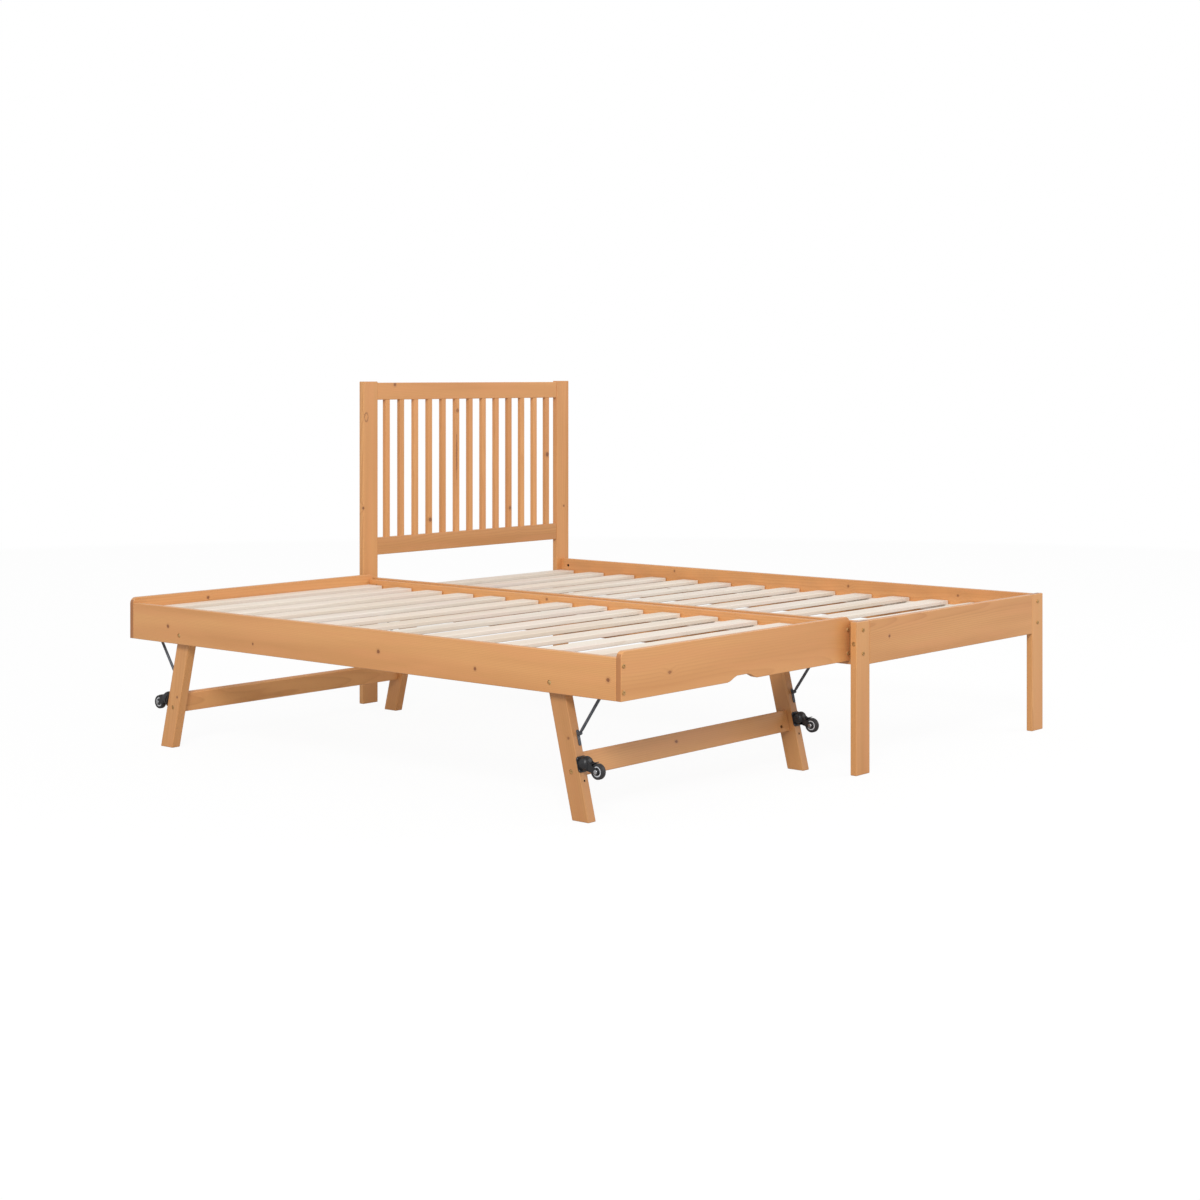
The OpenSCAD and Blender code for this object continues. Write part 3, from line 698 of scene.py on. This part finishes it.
def rail_nuts(node):
    def build(bm):
        for side, sign in SIDES.items():
            low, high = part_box(f"{node}_side_rail_{side}")
            inner = high.x if side == "left" else low.x
            for y in (low.y + NUT_IN, high.y - NUT_IN):
                for z in BOLT_Z:
                    nut_end(bm, (inner + sign * NUT_SINK, y, z), (-sign, 0, 0))
        if node == "main":
            low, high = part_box("foot_board")
            for x in (low.x + NUT_IN, high.x - NUT_IN):
                nut_end(bm, (x, high.y - NUT_SINK, panel_z), (0, 1, 0))
    return build


hardware("main_nut_ends", rail_nuts("main"), dark_bronze, "zinc", "main_bed", ["main_barrel_nuts"])
hardware("trundle_nut_ends", rail_nuts("trundle"), dark_bronze, "zinc", "trundle",
         ["trundle_barrel_nuts"])

for end in ENDS:
    place = {side: leg_frame(end, leg_x(end, side)) for side in SIDES}

    def leg_bolts(bm):
        for side, sign in SIDES.items():
            point = place[side] @ Vector((0, 0, -BOLT_AT)) + Vector((sign * (LEG_T / 2 - HEAD_SINK), 0, 0))
            socket_head(bm, point, (sign, 0, 0), *BOLT_HEAD)

    def leg_nuts(bm):
        low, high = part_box(f"cross_rail_{end}")
        frame_ = leg_frame(end, middle_of(f"cross_rail_{end}").x)
        face = frame_.to_3x3() @ Vector((0, 1, 0))
        for x in (low.x + NUT_IN, high.x - NUT_IN):
            local = Vector(((x - frame_.translation.x) * ENDS[end], CROSS_T / 2 - NUT_SINK, -BOLT_AT))
            nut_end(bm, frame_ @ local, face)

    hardware(f"leg_bolt_heads_{end}", leg_bolts, bronze, "bronze", f"{end}_legs", [f"leg_bolts_{end}"])
    hardware(f"leg_nut_ends_{end}", leg_nuts, dark_bronze, "zinc", f"{end}_legs")


def pivot_heads(bm):
    for p in pivots:
        for side, sign in SIDES.items():
            low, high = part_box(f"trundle_side_rail_{side}")
            outer = low.x if side == "left" else high.x
            socket_head(bm, (outer - sign * HEAD_SINK, p.y, p.z), (sign, 0, 0), *PIVOT_HEAD)


def pivot_nuts(bm):
    """Washers between the side rails and the legs, and nuts on the legs' inner faces."""
    for end, p in zip(ENDS, pivots):
        for side, sign in SIDES.items():
            x = leg_x(end, side)
            rail = x + sign * (LEG_T / 2 + 0.00025)
            washer = [(0.00405, 0), (0.0098, 0), (0.0100, 0.0002), (0.0100, 0.0008), (0.0098, 0.0010),
                      (0.00405, 0.0010), (0.00405, 0)]
            add_turned(bm, washer, facing((rail, p.y, p.z), (sign, 0, 0)), 40)
            start = facing((x - sign * (LEG_T / 2 + 0.0003), p.y, p.z), (-sign, 0, 0))
            add_turned(bm, [(0, 0), (0.0060, 0), (0.0061, 0.0006), (0.0061, 0.0054), (0.0057, 0.0060),
                            (0.0042, 0.0060), (0.0040, 0.0066), (0.0036, 0.0070), (0, 0.0070)],
                       start, 48, {1, 2, 3})


def pivot_caps(bm):
    """Domed middles of the pivot bolts' heads."""
    for p in pivots:
        for side, sign in SIDES.items():
            low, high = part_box(f"trundle_side_rail_{side}")
            outer = low.x if side == "left" else high.x
            add_turned(bm, [(0, 0.0010), (0.0024, 0.0009), (0.0036, 0.0004), (0.0040, 0), (0, 0)],
                       facing((outer - sign * 0.0006, p.y, p.z), (sign, 0, 0)), 32)


hardware("pivot_screw_heads", pivot_heads, bronze, "zinc", "trundle", ["leg_pivot_bolts"])
hardware("pivot_screw_caps", pivot_caps, bronze, "zinc", "trundle")

for end in ENDS:
    place = {side: leg_frame(end, leg_x(end, side)) for side in SIDES}

    def leg_screws(bm):
        """Small dark screw in each leg's outward face, below its castor."""
        for side, sign in SIDES.items():
            point = place[side] @ Vector((sign * ENDS[end] * 0.0005, LEG_W / 2, -0.2535))
            screw_head(bm, point, place[side].to_3x3() @ Vector((0, 1, 0)), 0.0030, 0.0009)

    hardware(f"leg_screws_{end}", leg_screws, dark_bronze, "bronze", f"{end}_legs")
hardware("pivot_nuts", pivot_nuts, zinc, "zinc", "trundle", angle=30)

# ---------------------------------------------------------------- stays

PIN_OUT = 0.008
for end, side in CORNERS:
    pin = Vector(JOINTS[f"stay_{end}_{side}_fold"]["pos_m"])
    place = leg_frame(end, pin.x)
    place.translation = pin
    face = Matrix.Translation((0, -PIN_OUT, 0))

    def bracket(bm):
        """Folded steel strip with round ends, two ears and the pin across them."""
        half, top, bottom = 0.0050, 0.010, 0.030
        outline = arc(0, top - half, half, 0, 180, 12) + arc(0, half - bottom, half, 180, 360, 12)
        add_prism(bm, outline, 0.002, place @ face @ onto_xz(0.001))
        ear = arc(0, 0, 0.0042, -90, 90, 12) + [(-PIN_OUT + 0.001, 0.006), (-PIN_OUT + 0.001, -0.006)]
        for x in (-0.0041, 0.0041):
            add_prism(bm, ear, 0.0014, place @ Matrix.Translation((x, 0, 0)))
        for x in (-1, 1):
            cap = facing(place @ Vector((x * 0.0047, 0, 0)), place.to_3x3() @ Vector((x, 0, 0)))
            add_turned(bm, [(0, 0), (0.0024, 0), (0.0024, 0.0004), (0.0018, 0.0007), (0, 0.0008)],
                       cap, 24)
        rod = facing(place @ Vector((-0.0049, 0, 0)), place.to_3x3() @ Vector((1, 0, 0)))
        add_turned(bm, [(0, 0), (0.002, 0), (0.002, 0.0098), (0, 0.0098)], rod, 24)

    piece = mesh_object(f"stay_bracket_{end}_{side}_steel", bracket)
    round_edges(piece, 0.0003, 2, 40)
    smooth(piece)
    finish_piece(piece, steel, "dark_steel", f"{end}_legs", f"stay_bracket_{end}_{side}")

    def bracket_screws(bm):
        for z in (-0.0135, -0.0245):
            point = place @ Vector((0, -PIN_OUT + 0.002, z))
            screw_head(bm, point, place.to_3x3() @ Vector((0, 1, 0)), 0.0032, 0.0012)

    hardware(f"stay_screws_{end}_{side}", bracket_screws, steel, "dark_steel", f"{end}_legs")

    low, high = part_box(f"stay_{end}_{side}")
    far_y = high.y - 0.0035 if end == "head" else low.y + 0.0035
    reach = Vector((0, far_y - pin.y, high.z - 0.0035 - pin.z)).normalized()
    along = facing(pin, reach)
    across = Matrix((Vector((1, 0, 0)), reach, Vector((1, 0, 0)).cross(reach))).transposed().to_4x4()
    across.translation = pin

    def stay(bm):
        """Round rod, necked into a flat eye at the pin and rounded at the tip."""
        profile = [(0.0026, 0.0045), (0.0034, 0.0070), (0.0039, 0.0110), (0.0040, 0.0160),
                   (0.0040, 0.1450), (0.0037, 0.1475), (0.0030, 0.1492), (0.0017, 0.1500), (0, 0.1500)]
        add_turned(bm, [(0, 0.0045)] + profile, along, 32)
        eye = arc(0, 0, 0.0046, 35, 325, 24) + arc(0.0085, 0, 0.0026, -90, 90, 6)
        add_prism(bm, eye, 0.005, across)

    piece = mesh_object(f"stay_{end}_{side}_steel", stay)
    round_edges(piece, 0.0006, 2, 40)
    smooth(piece)
    finish_piece(piece, steel, "dark_steel", f"stay_{end}_{side}", f"stay_{end}_{side}")

# ---------------------------------------------------------------- castors

WHEEL_W = 0.015
for end, side in CORNERS:
    root = Vector(JOINTS[f"castor_{end}_{side}_swivel"]["pos_m"])
    axle = Vector(JOINTS[f"wheel_{end}_{side}_spin"]["pos_m"])
    place = leg_frame(end, root.x)
    place.translation = root
    normal = place.to_3x3() @ Vector((0, 1, 0))
    stand = facing(root, normal)
    trail = -(place.inverted() @ axle).z
    out = (place.inverted() @ axle).y
    legs, castor, wheel = f"{end}_legs", f"castor_{end}_{side}", f"wheel_{end}_{side}"

    def plate(bm):
        """Stamped plate with round corners and the raised ring that carries the fork."""
        w, h, r = 0.0180, 0.0200, 0.0080
        outline = (arc(w - r, h - r, r, 0, 90, 6) + arc(r - w, h - r, r, 90, 180, 6)
                   + arc(r - w, r - h, r, 180, 270, 6) + arc(w - r, r - h, r, 270, 360, 6))
        add_prism(bm, outline, 0.0025, place @ onto_xz(0.00125))
        add_turned(bm, [(0.0160, 0.0020), (0.0160, 0.0070), (0.0152, 0.0085), (0.0138, 0.0090),
                        (0.0045, 0.0090), (0.0045, 0.0020), (0.0160, 0.0020)], stand)

    piece = mesh_object(f"castor_plate_{end}_{side}_black", plate)
    round_edges(piece, 0.0005, 2, 40)
    smooth(piece)
    finish_piece(piece, black, "black", legs, f"castor_plate_{end}_{side}")

    def plate_screws(bm):
        for x, z in ((-0.0143, 0.0150), (0.0143, 0.0150), (-0.0143, -0.0150), (0.0143, -0.0150)):
            screw_head(bm, place @ Vector((x, 0.0025, z)), normal, 0.0022, 0.0011)

    hardware(f"castor_screws_{end}_{side}", plate_screws, steel, "dark_steel", legs)

    def fork(bm):
        """Domed crown, two arms, the web between them and the hood over the wheel."""
        dome = [(0, 0.0095), (0.0172, 0.0095), (0.0180, 0.0104), (0.0180, 0.0185), (0.0173, 0.0226),
                (0.0150, 0.0260), (0.0112, 0.0284), (0.0060, 0.0297), (0, 0.0300)]
        add_turned(bm, dome, stand)
        add_turned(bm, [(0, 0.0030), (0.0036, 0.0030), (0.0036, 0.0100), (0, 0.0100)], stand, 24)
        slope = math.atan2(trail, out - 0.0095)
        tip = math.degrees(slope)
        arm = [(0.0100, -0.0125), (0.0100, 0.0130), (0.0180, 0.0130)]
        arm += arc(out, -trail, 0.0072, 90 - tip, -90 - tip, 14)
        for x in (-1, 1):
            add_prism(bm, arm, 0.0025, place @ Matrix.Translation((x * 0.00975, 0, 0)))
        web = [(0.0100, -0.0125), (0.0100, 0.0130), (0.0180, 0.0130), (0.0262, 0.0056), (0.0280, 0.0030),
               (0.0276, -0.0195), (0.0258, -0.0206)]
        add_prism(bm, web, 0.0220, place)
        hood = arc(out, -trail, 0.0236, 158, 92, 10) + arc(out, -trail, 0.0214, 92, 158, 10)
        add_prism(bm, hood, 0.0210, place)

    piece = mesh_object(f"castor_fork_{end}_{side}_black", fork)
    round_edges(piece, 0.0006, 2, 40)
    smooth(piece)
    finish_piece(piece, black, "black", castor, f"castor_fork_{end}_{side}")

    def caps(bm):
        for x in (-1, 1):
            add_turned(bm, [(0, -0.003), (0.0030, -0.003), (0.0030, 0), (0.0056, 0), (0.0056, 0.0012),
                            (0.0050, 0.0019), (0.0036, 0.0023), (0, 0.0024)],
                       facing(axle + Vector((x * 0.0110, 0, 0)), (x, 0, 0)), 32)
        add_turned(bm, [(0, 0), (0.003, 0), (0.003, 0.022), (0, 0.022)],
                   facing(axle - Vector((0.011, 0, 0)), (1, 0, 0)), 32)

    hardware(f"castor_axle_{end}_{side}_zinc", caps, zinc, "zinc", castor, [f"castor_axle_{end}_{side}"])

    h = WHEEL_W / 2

    def tread(bm):
        """Tyre with round shoulders and two fine moulding lines."""
        half_profile = [(0.0134, h - 0.0016), (0.0140, h - 0.0004), (0.0150, h), (0.0172, h),
                        (0.0188, h - 0.0008), (0.0197, h - 0.0022), (0.0200, h - 0.0042),
                        (0.0200, 0.0010), (0.01985, 0.0006)]
        profile = half_profile + [(r, -z) for r, z in reversed(half_profile)]
        add_turned(bm, profile + [profile[0]], facing(axle, (1, 0, 0)), 72)

    hardware(f"castor_tyre_{end}_{side}", tread, tyre, "tyre_black", wheel,
             [f"castor_wheel_{end}_{side}"], 30)

    def rim(bm):
        half_profile = [(0.0098, h - 0.0022), (0.0104, h - 0.0012), (0.0128, h - 0.0010),
                        (0.0136, h - 0.0018)]
        profile = half_profile + [(r, -z) for r, z in reversed(half_profile)]
        add_turned(bm, profile + [profile[0]], facing(axle, (1, 0, 0)), 64)

    hardware(f"castor_rim_{end}_{side}", rim, grey, "zinc", wheel, angle=30)

    def hub(bm):
        half_profile = [(0.0031, h), (0.0062, h), (0.0068, h - 0.0006), (0.0070, h - 0.0030),
                        (0.0100, h - 0.0030)]
        profile = half_profile + [(r, -z) for r, z in reversed(half_profile)]
        add_turned(bm, profile + [profile[0]], facing(axle, (1, 0, 0)), 64)

    hardware(f"castor_hub_{end}_{side}", hub, black, "tyre_black", wheel, angle=30)

# The stay keepers and the headboard's hidden dowels keep their CAD shapes
for node, material in (("stay_keepers", steel), ("headboard_dowels", raw)):
    o = frame["nodes"][node]
    o.data.materials.clear()
    o.data.materials.append(material)

# ---------------------------------------------------------------- stage


def floor_material():
    s = Shader("floor")
    at = s.place()
    away = s.maths("DIVIDE", s.vector("LENGTH", at, output="Value"), 9.0)
    fade = s.curve(s.maths("MULTIPLY", away, 1.0, clamp=True), (0.25, 0.0), (0.9, 1.0))
    seen = s.node("ShaderNodeLightPath").outputs["Is Camera Ray"]
    fade = s.maths("MULTIPLY", s.maths("MAXIMUM", fade, 0.93), seen)
    s.set(Base_Color=s.mix(seen, (0.50, 0.49, 0.48), (0.96, 0.96, 0.96)), Roughness=0.9,
          Specular_IOR_Level=0.0)
    glow = s.node("ShaderNodeEmission", {"Color": (1.0, 1.0, 1.0), "Strength": 1.0})
    blend = s.node("ShaderNodeMixShader", {0: fade, 1: s.surface.outputs[0], 2: glow.outputs[0]})
    s.links.new(blend.outputs[0], s.nodes["Material Output"].inputs["Surface"])
    return s.material


floor = mesh_object("floor", lambda bm: bmesh.ops.create_circle(
    bm, cap_ends=True, segments=96, radius=60))
floor.location.z = -0.0003
floor.data.materials.append(floor_material())

world = bpy.data.worlds.new("studio")
bpy.context.scene.world = world
world.use_nodes = True
sky = world.node_tree.nodes
sky["Background"].inputs["Color"].default_value = (1, 1, 1, 1)
strength = sky.new("ShaderNodeMapRange")
strength.inputs["To Min"].default_value, strength.inputs["To Max"].default_value = 0.70, 1.0
seen = sky.new("ShaderNodeLightPath").outputs["Is Camera Ray"]
world.node_tree.links.new(seen, strength.inputs["Value"])
world.node_tree.links.new(strength.outputs["Result"], sky["Background"].inputs["Strength"])


def softbox(name, place, target, size, power):
    light = bpy.data.lights.new(name, "AREA")
    light.shape, light.size, light.size_y, light.energy = "RECTANGLE", *size, power
    lamp = bpy.data.objects.new(name, light)
    bpy.context.scene.collection.objects.link(lamp)
    lamp.location = place
    lamp.rotation_euler = (Vector(target) - Vector(place)).to_track_quat("-Z", "Y").to_euler()


softbox("key", (-8.6, -6.4, 7.2), (0, 0, 0.4), (3.4, 3.4), 830)
softbox("fill", (3.8, -3.8, 3.0), (0.4, 0, 0.4), (3.0, 2.5), 62)

camera_data = bpy.data.cameras.new("camera")
camera = bpy.data.objects.new("camera", camera_data)
bpy.context.scene.collection.objects.link(camera)
camera.location = (-4.960, -4.289, 1.109)
camera.rotation_euler = (math.radians(90), 0, -0.862)
camera_data.sensor_width = 36
camera_data.lens = 63.92
camera_data.shift_y = -0.188
camera_data.clip_end = 200
bpy.context.scene.camera = camera
bpy.context.scene.view_settings.view_transform = "Standard"
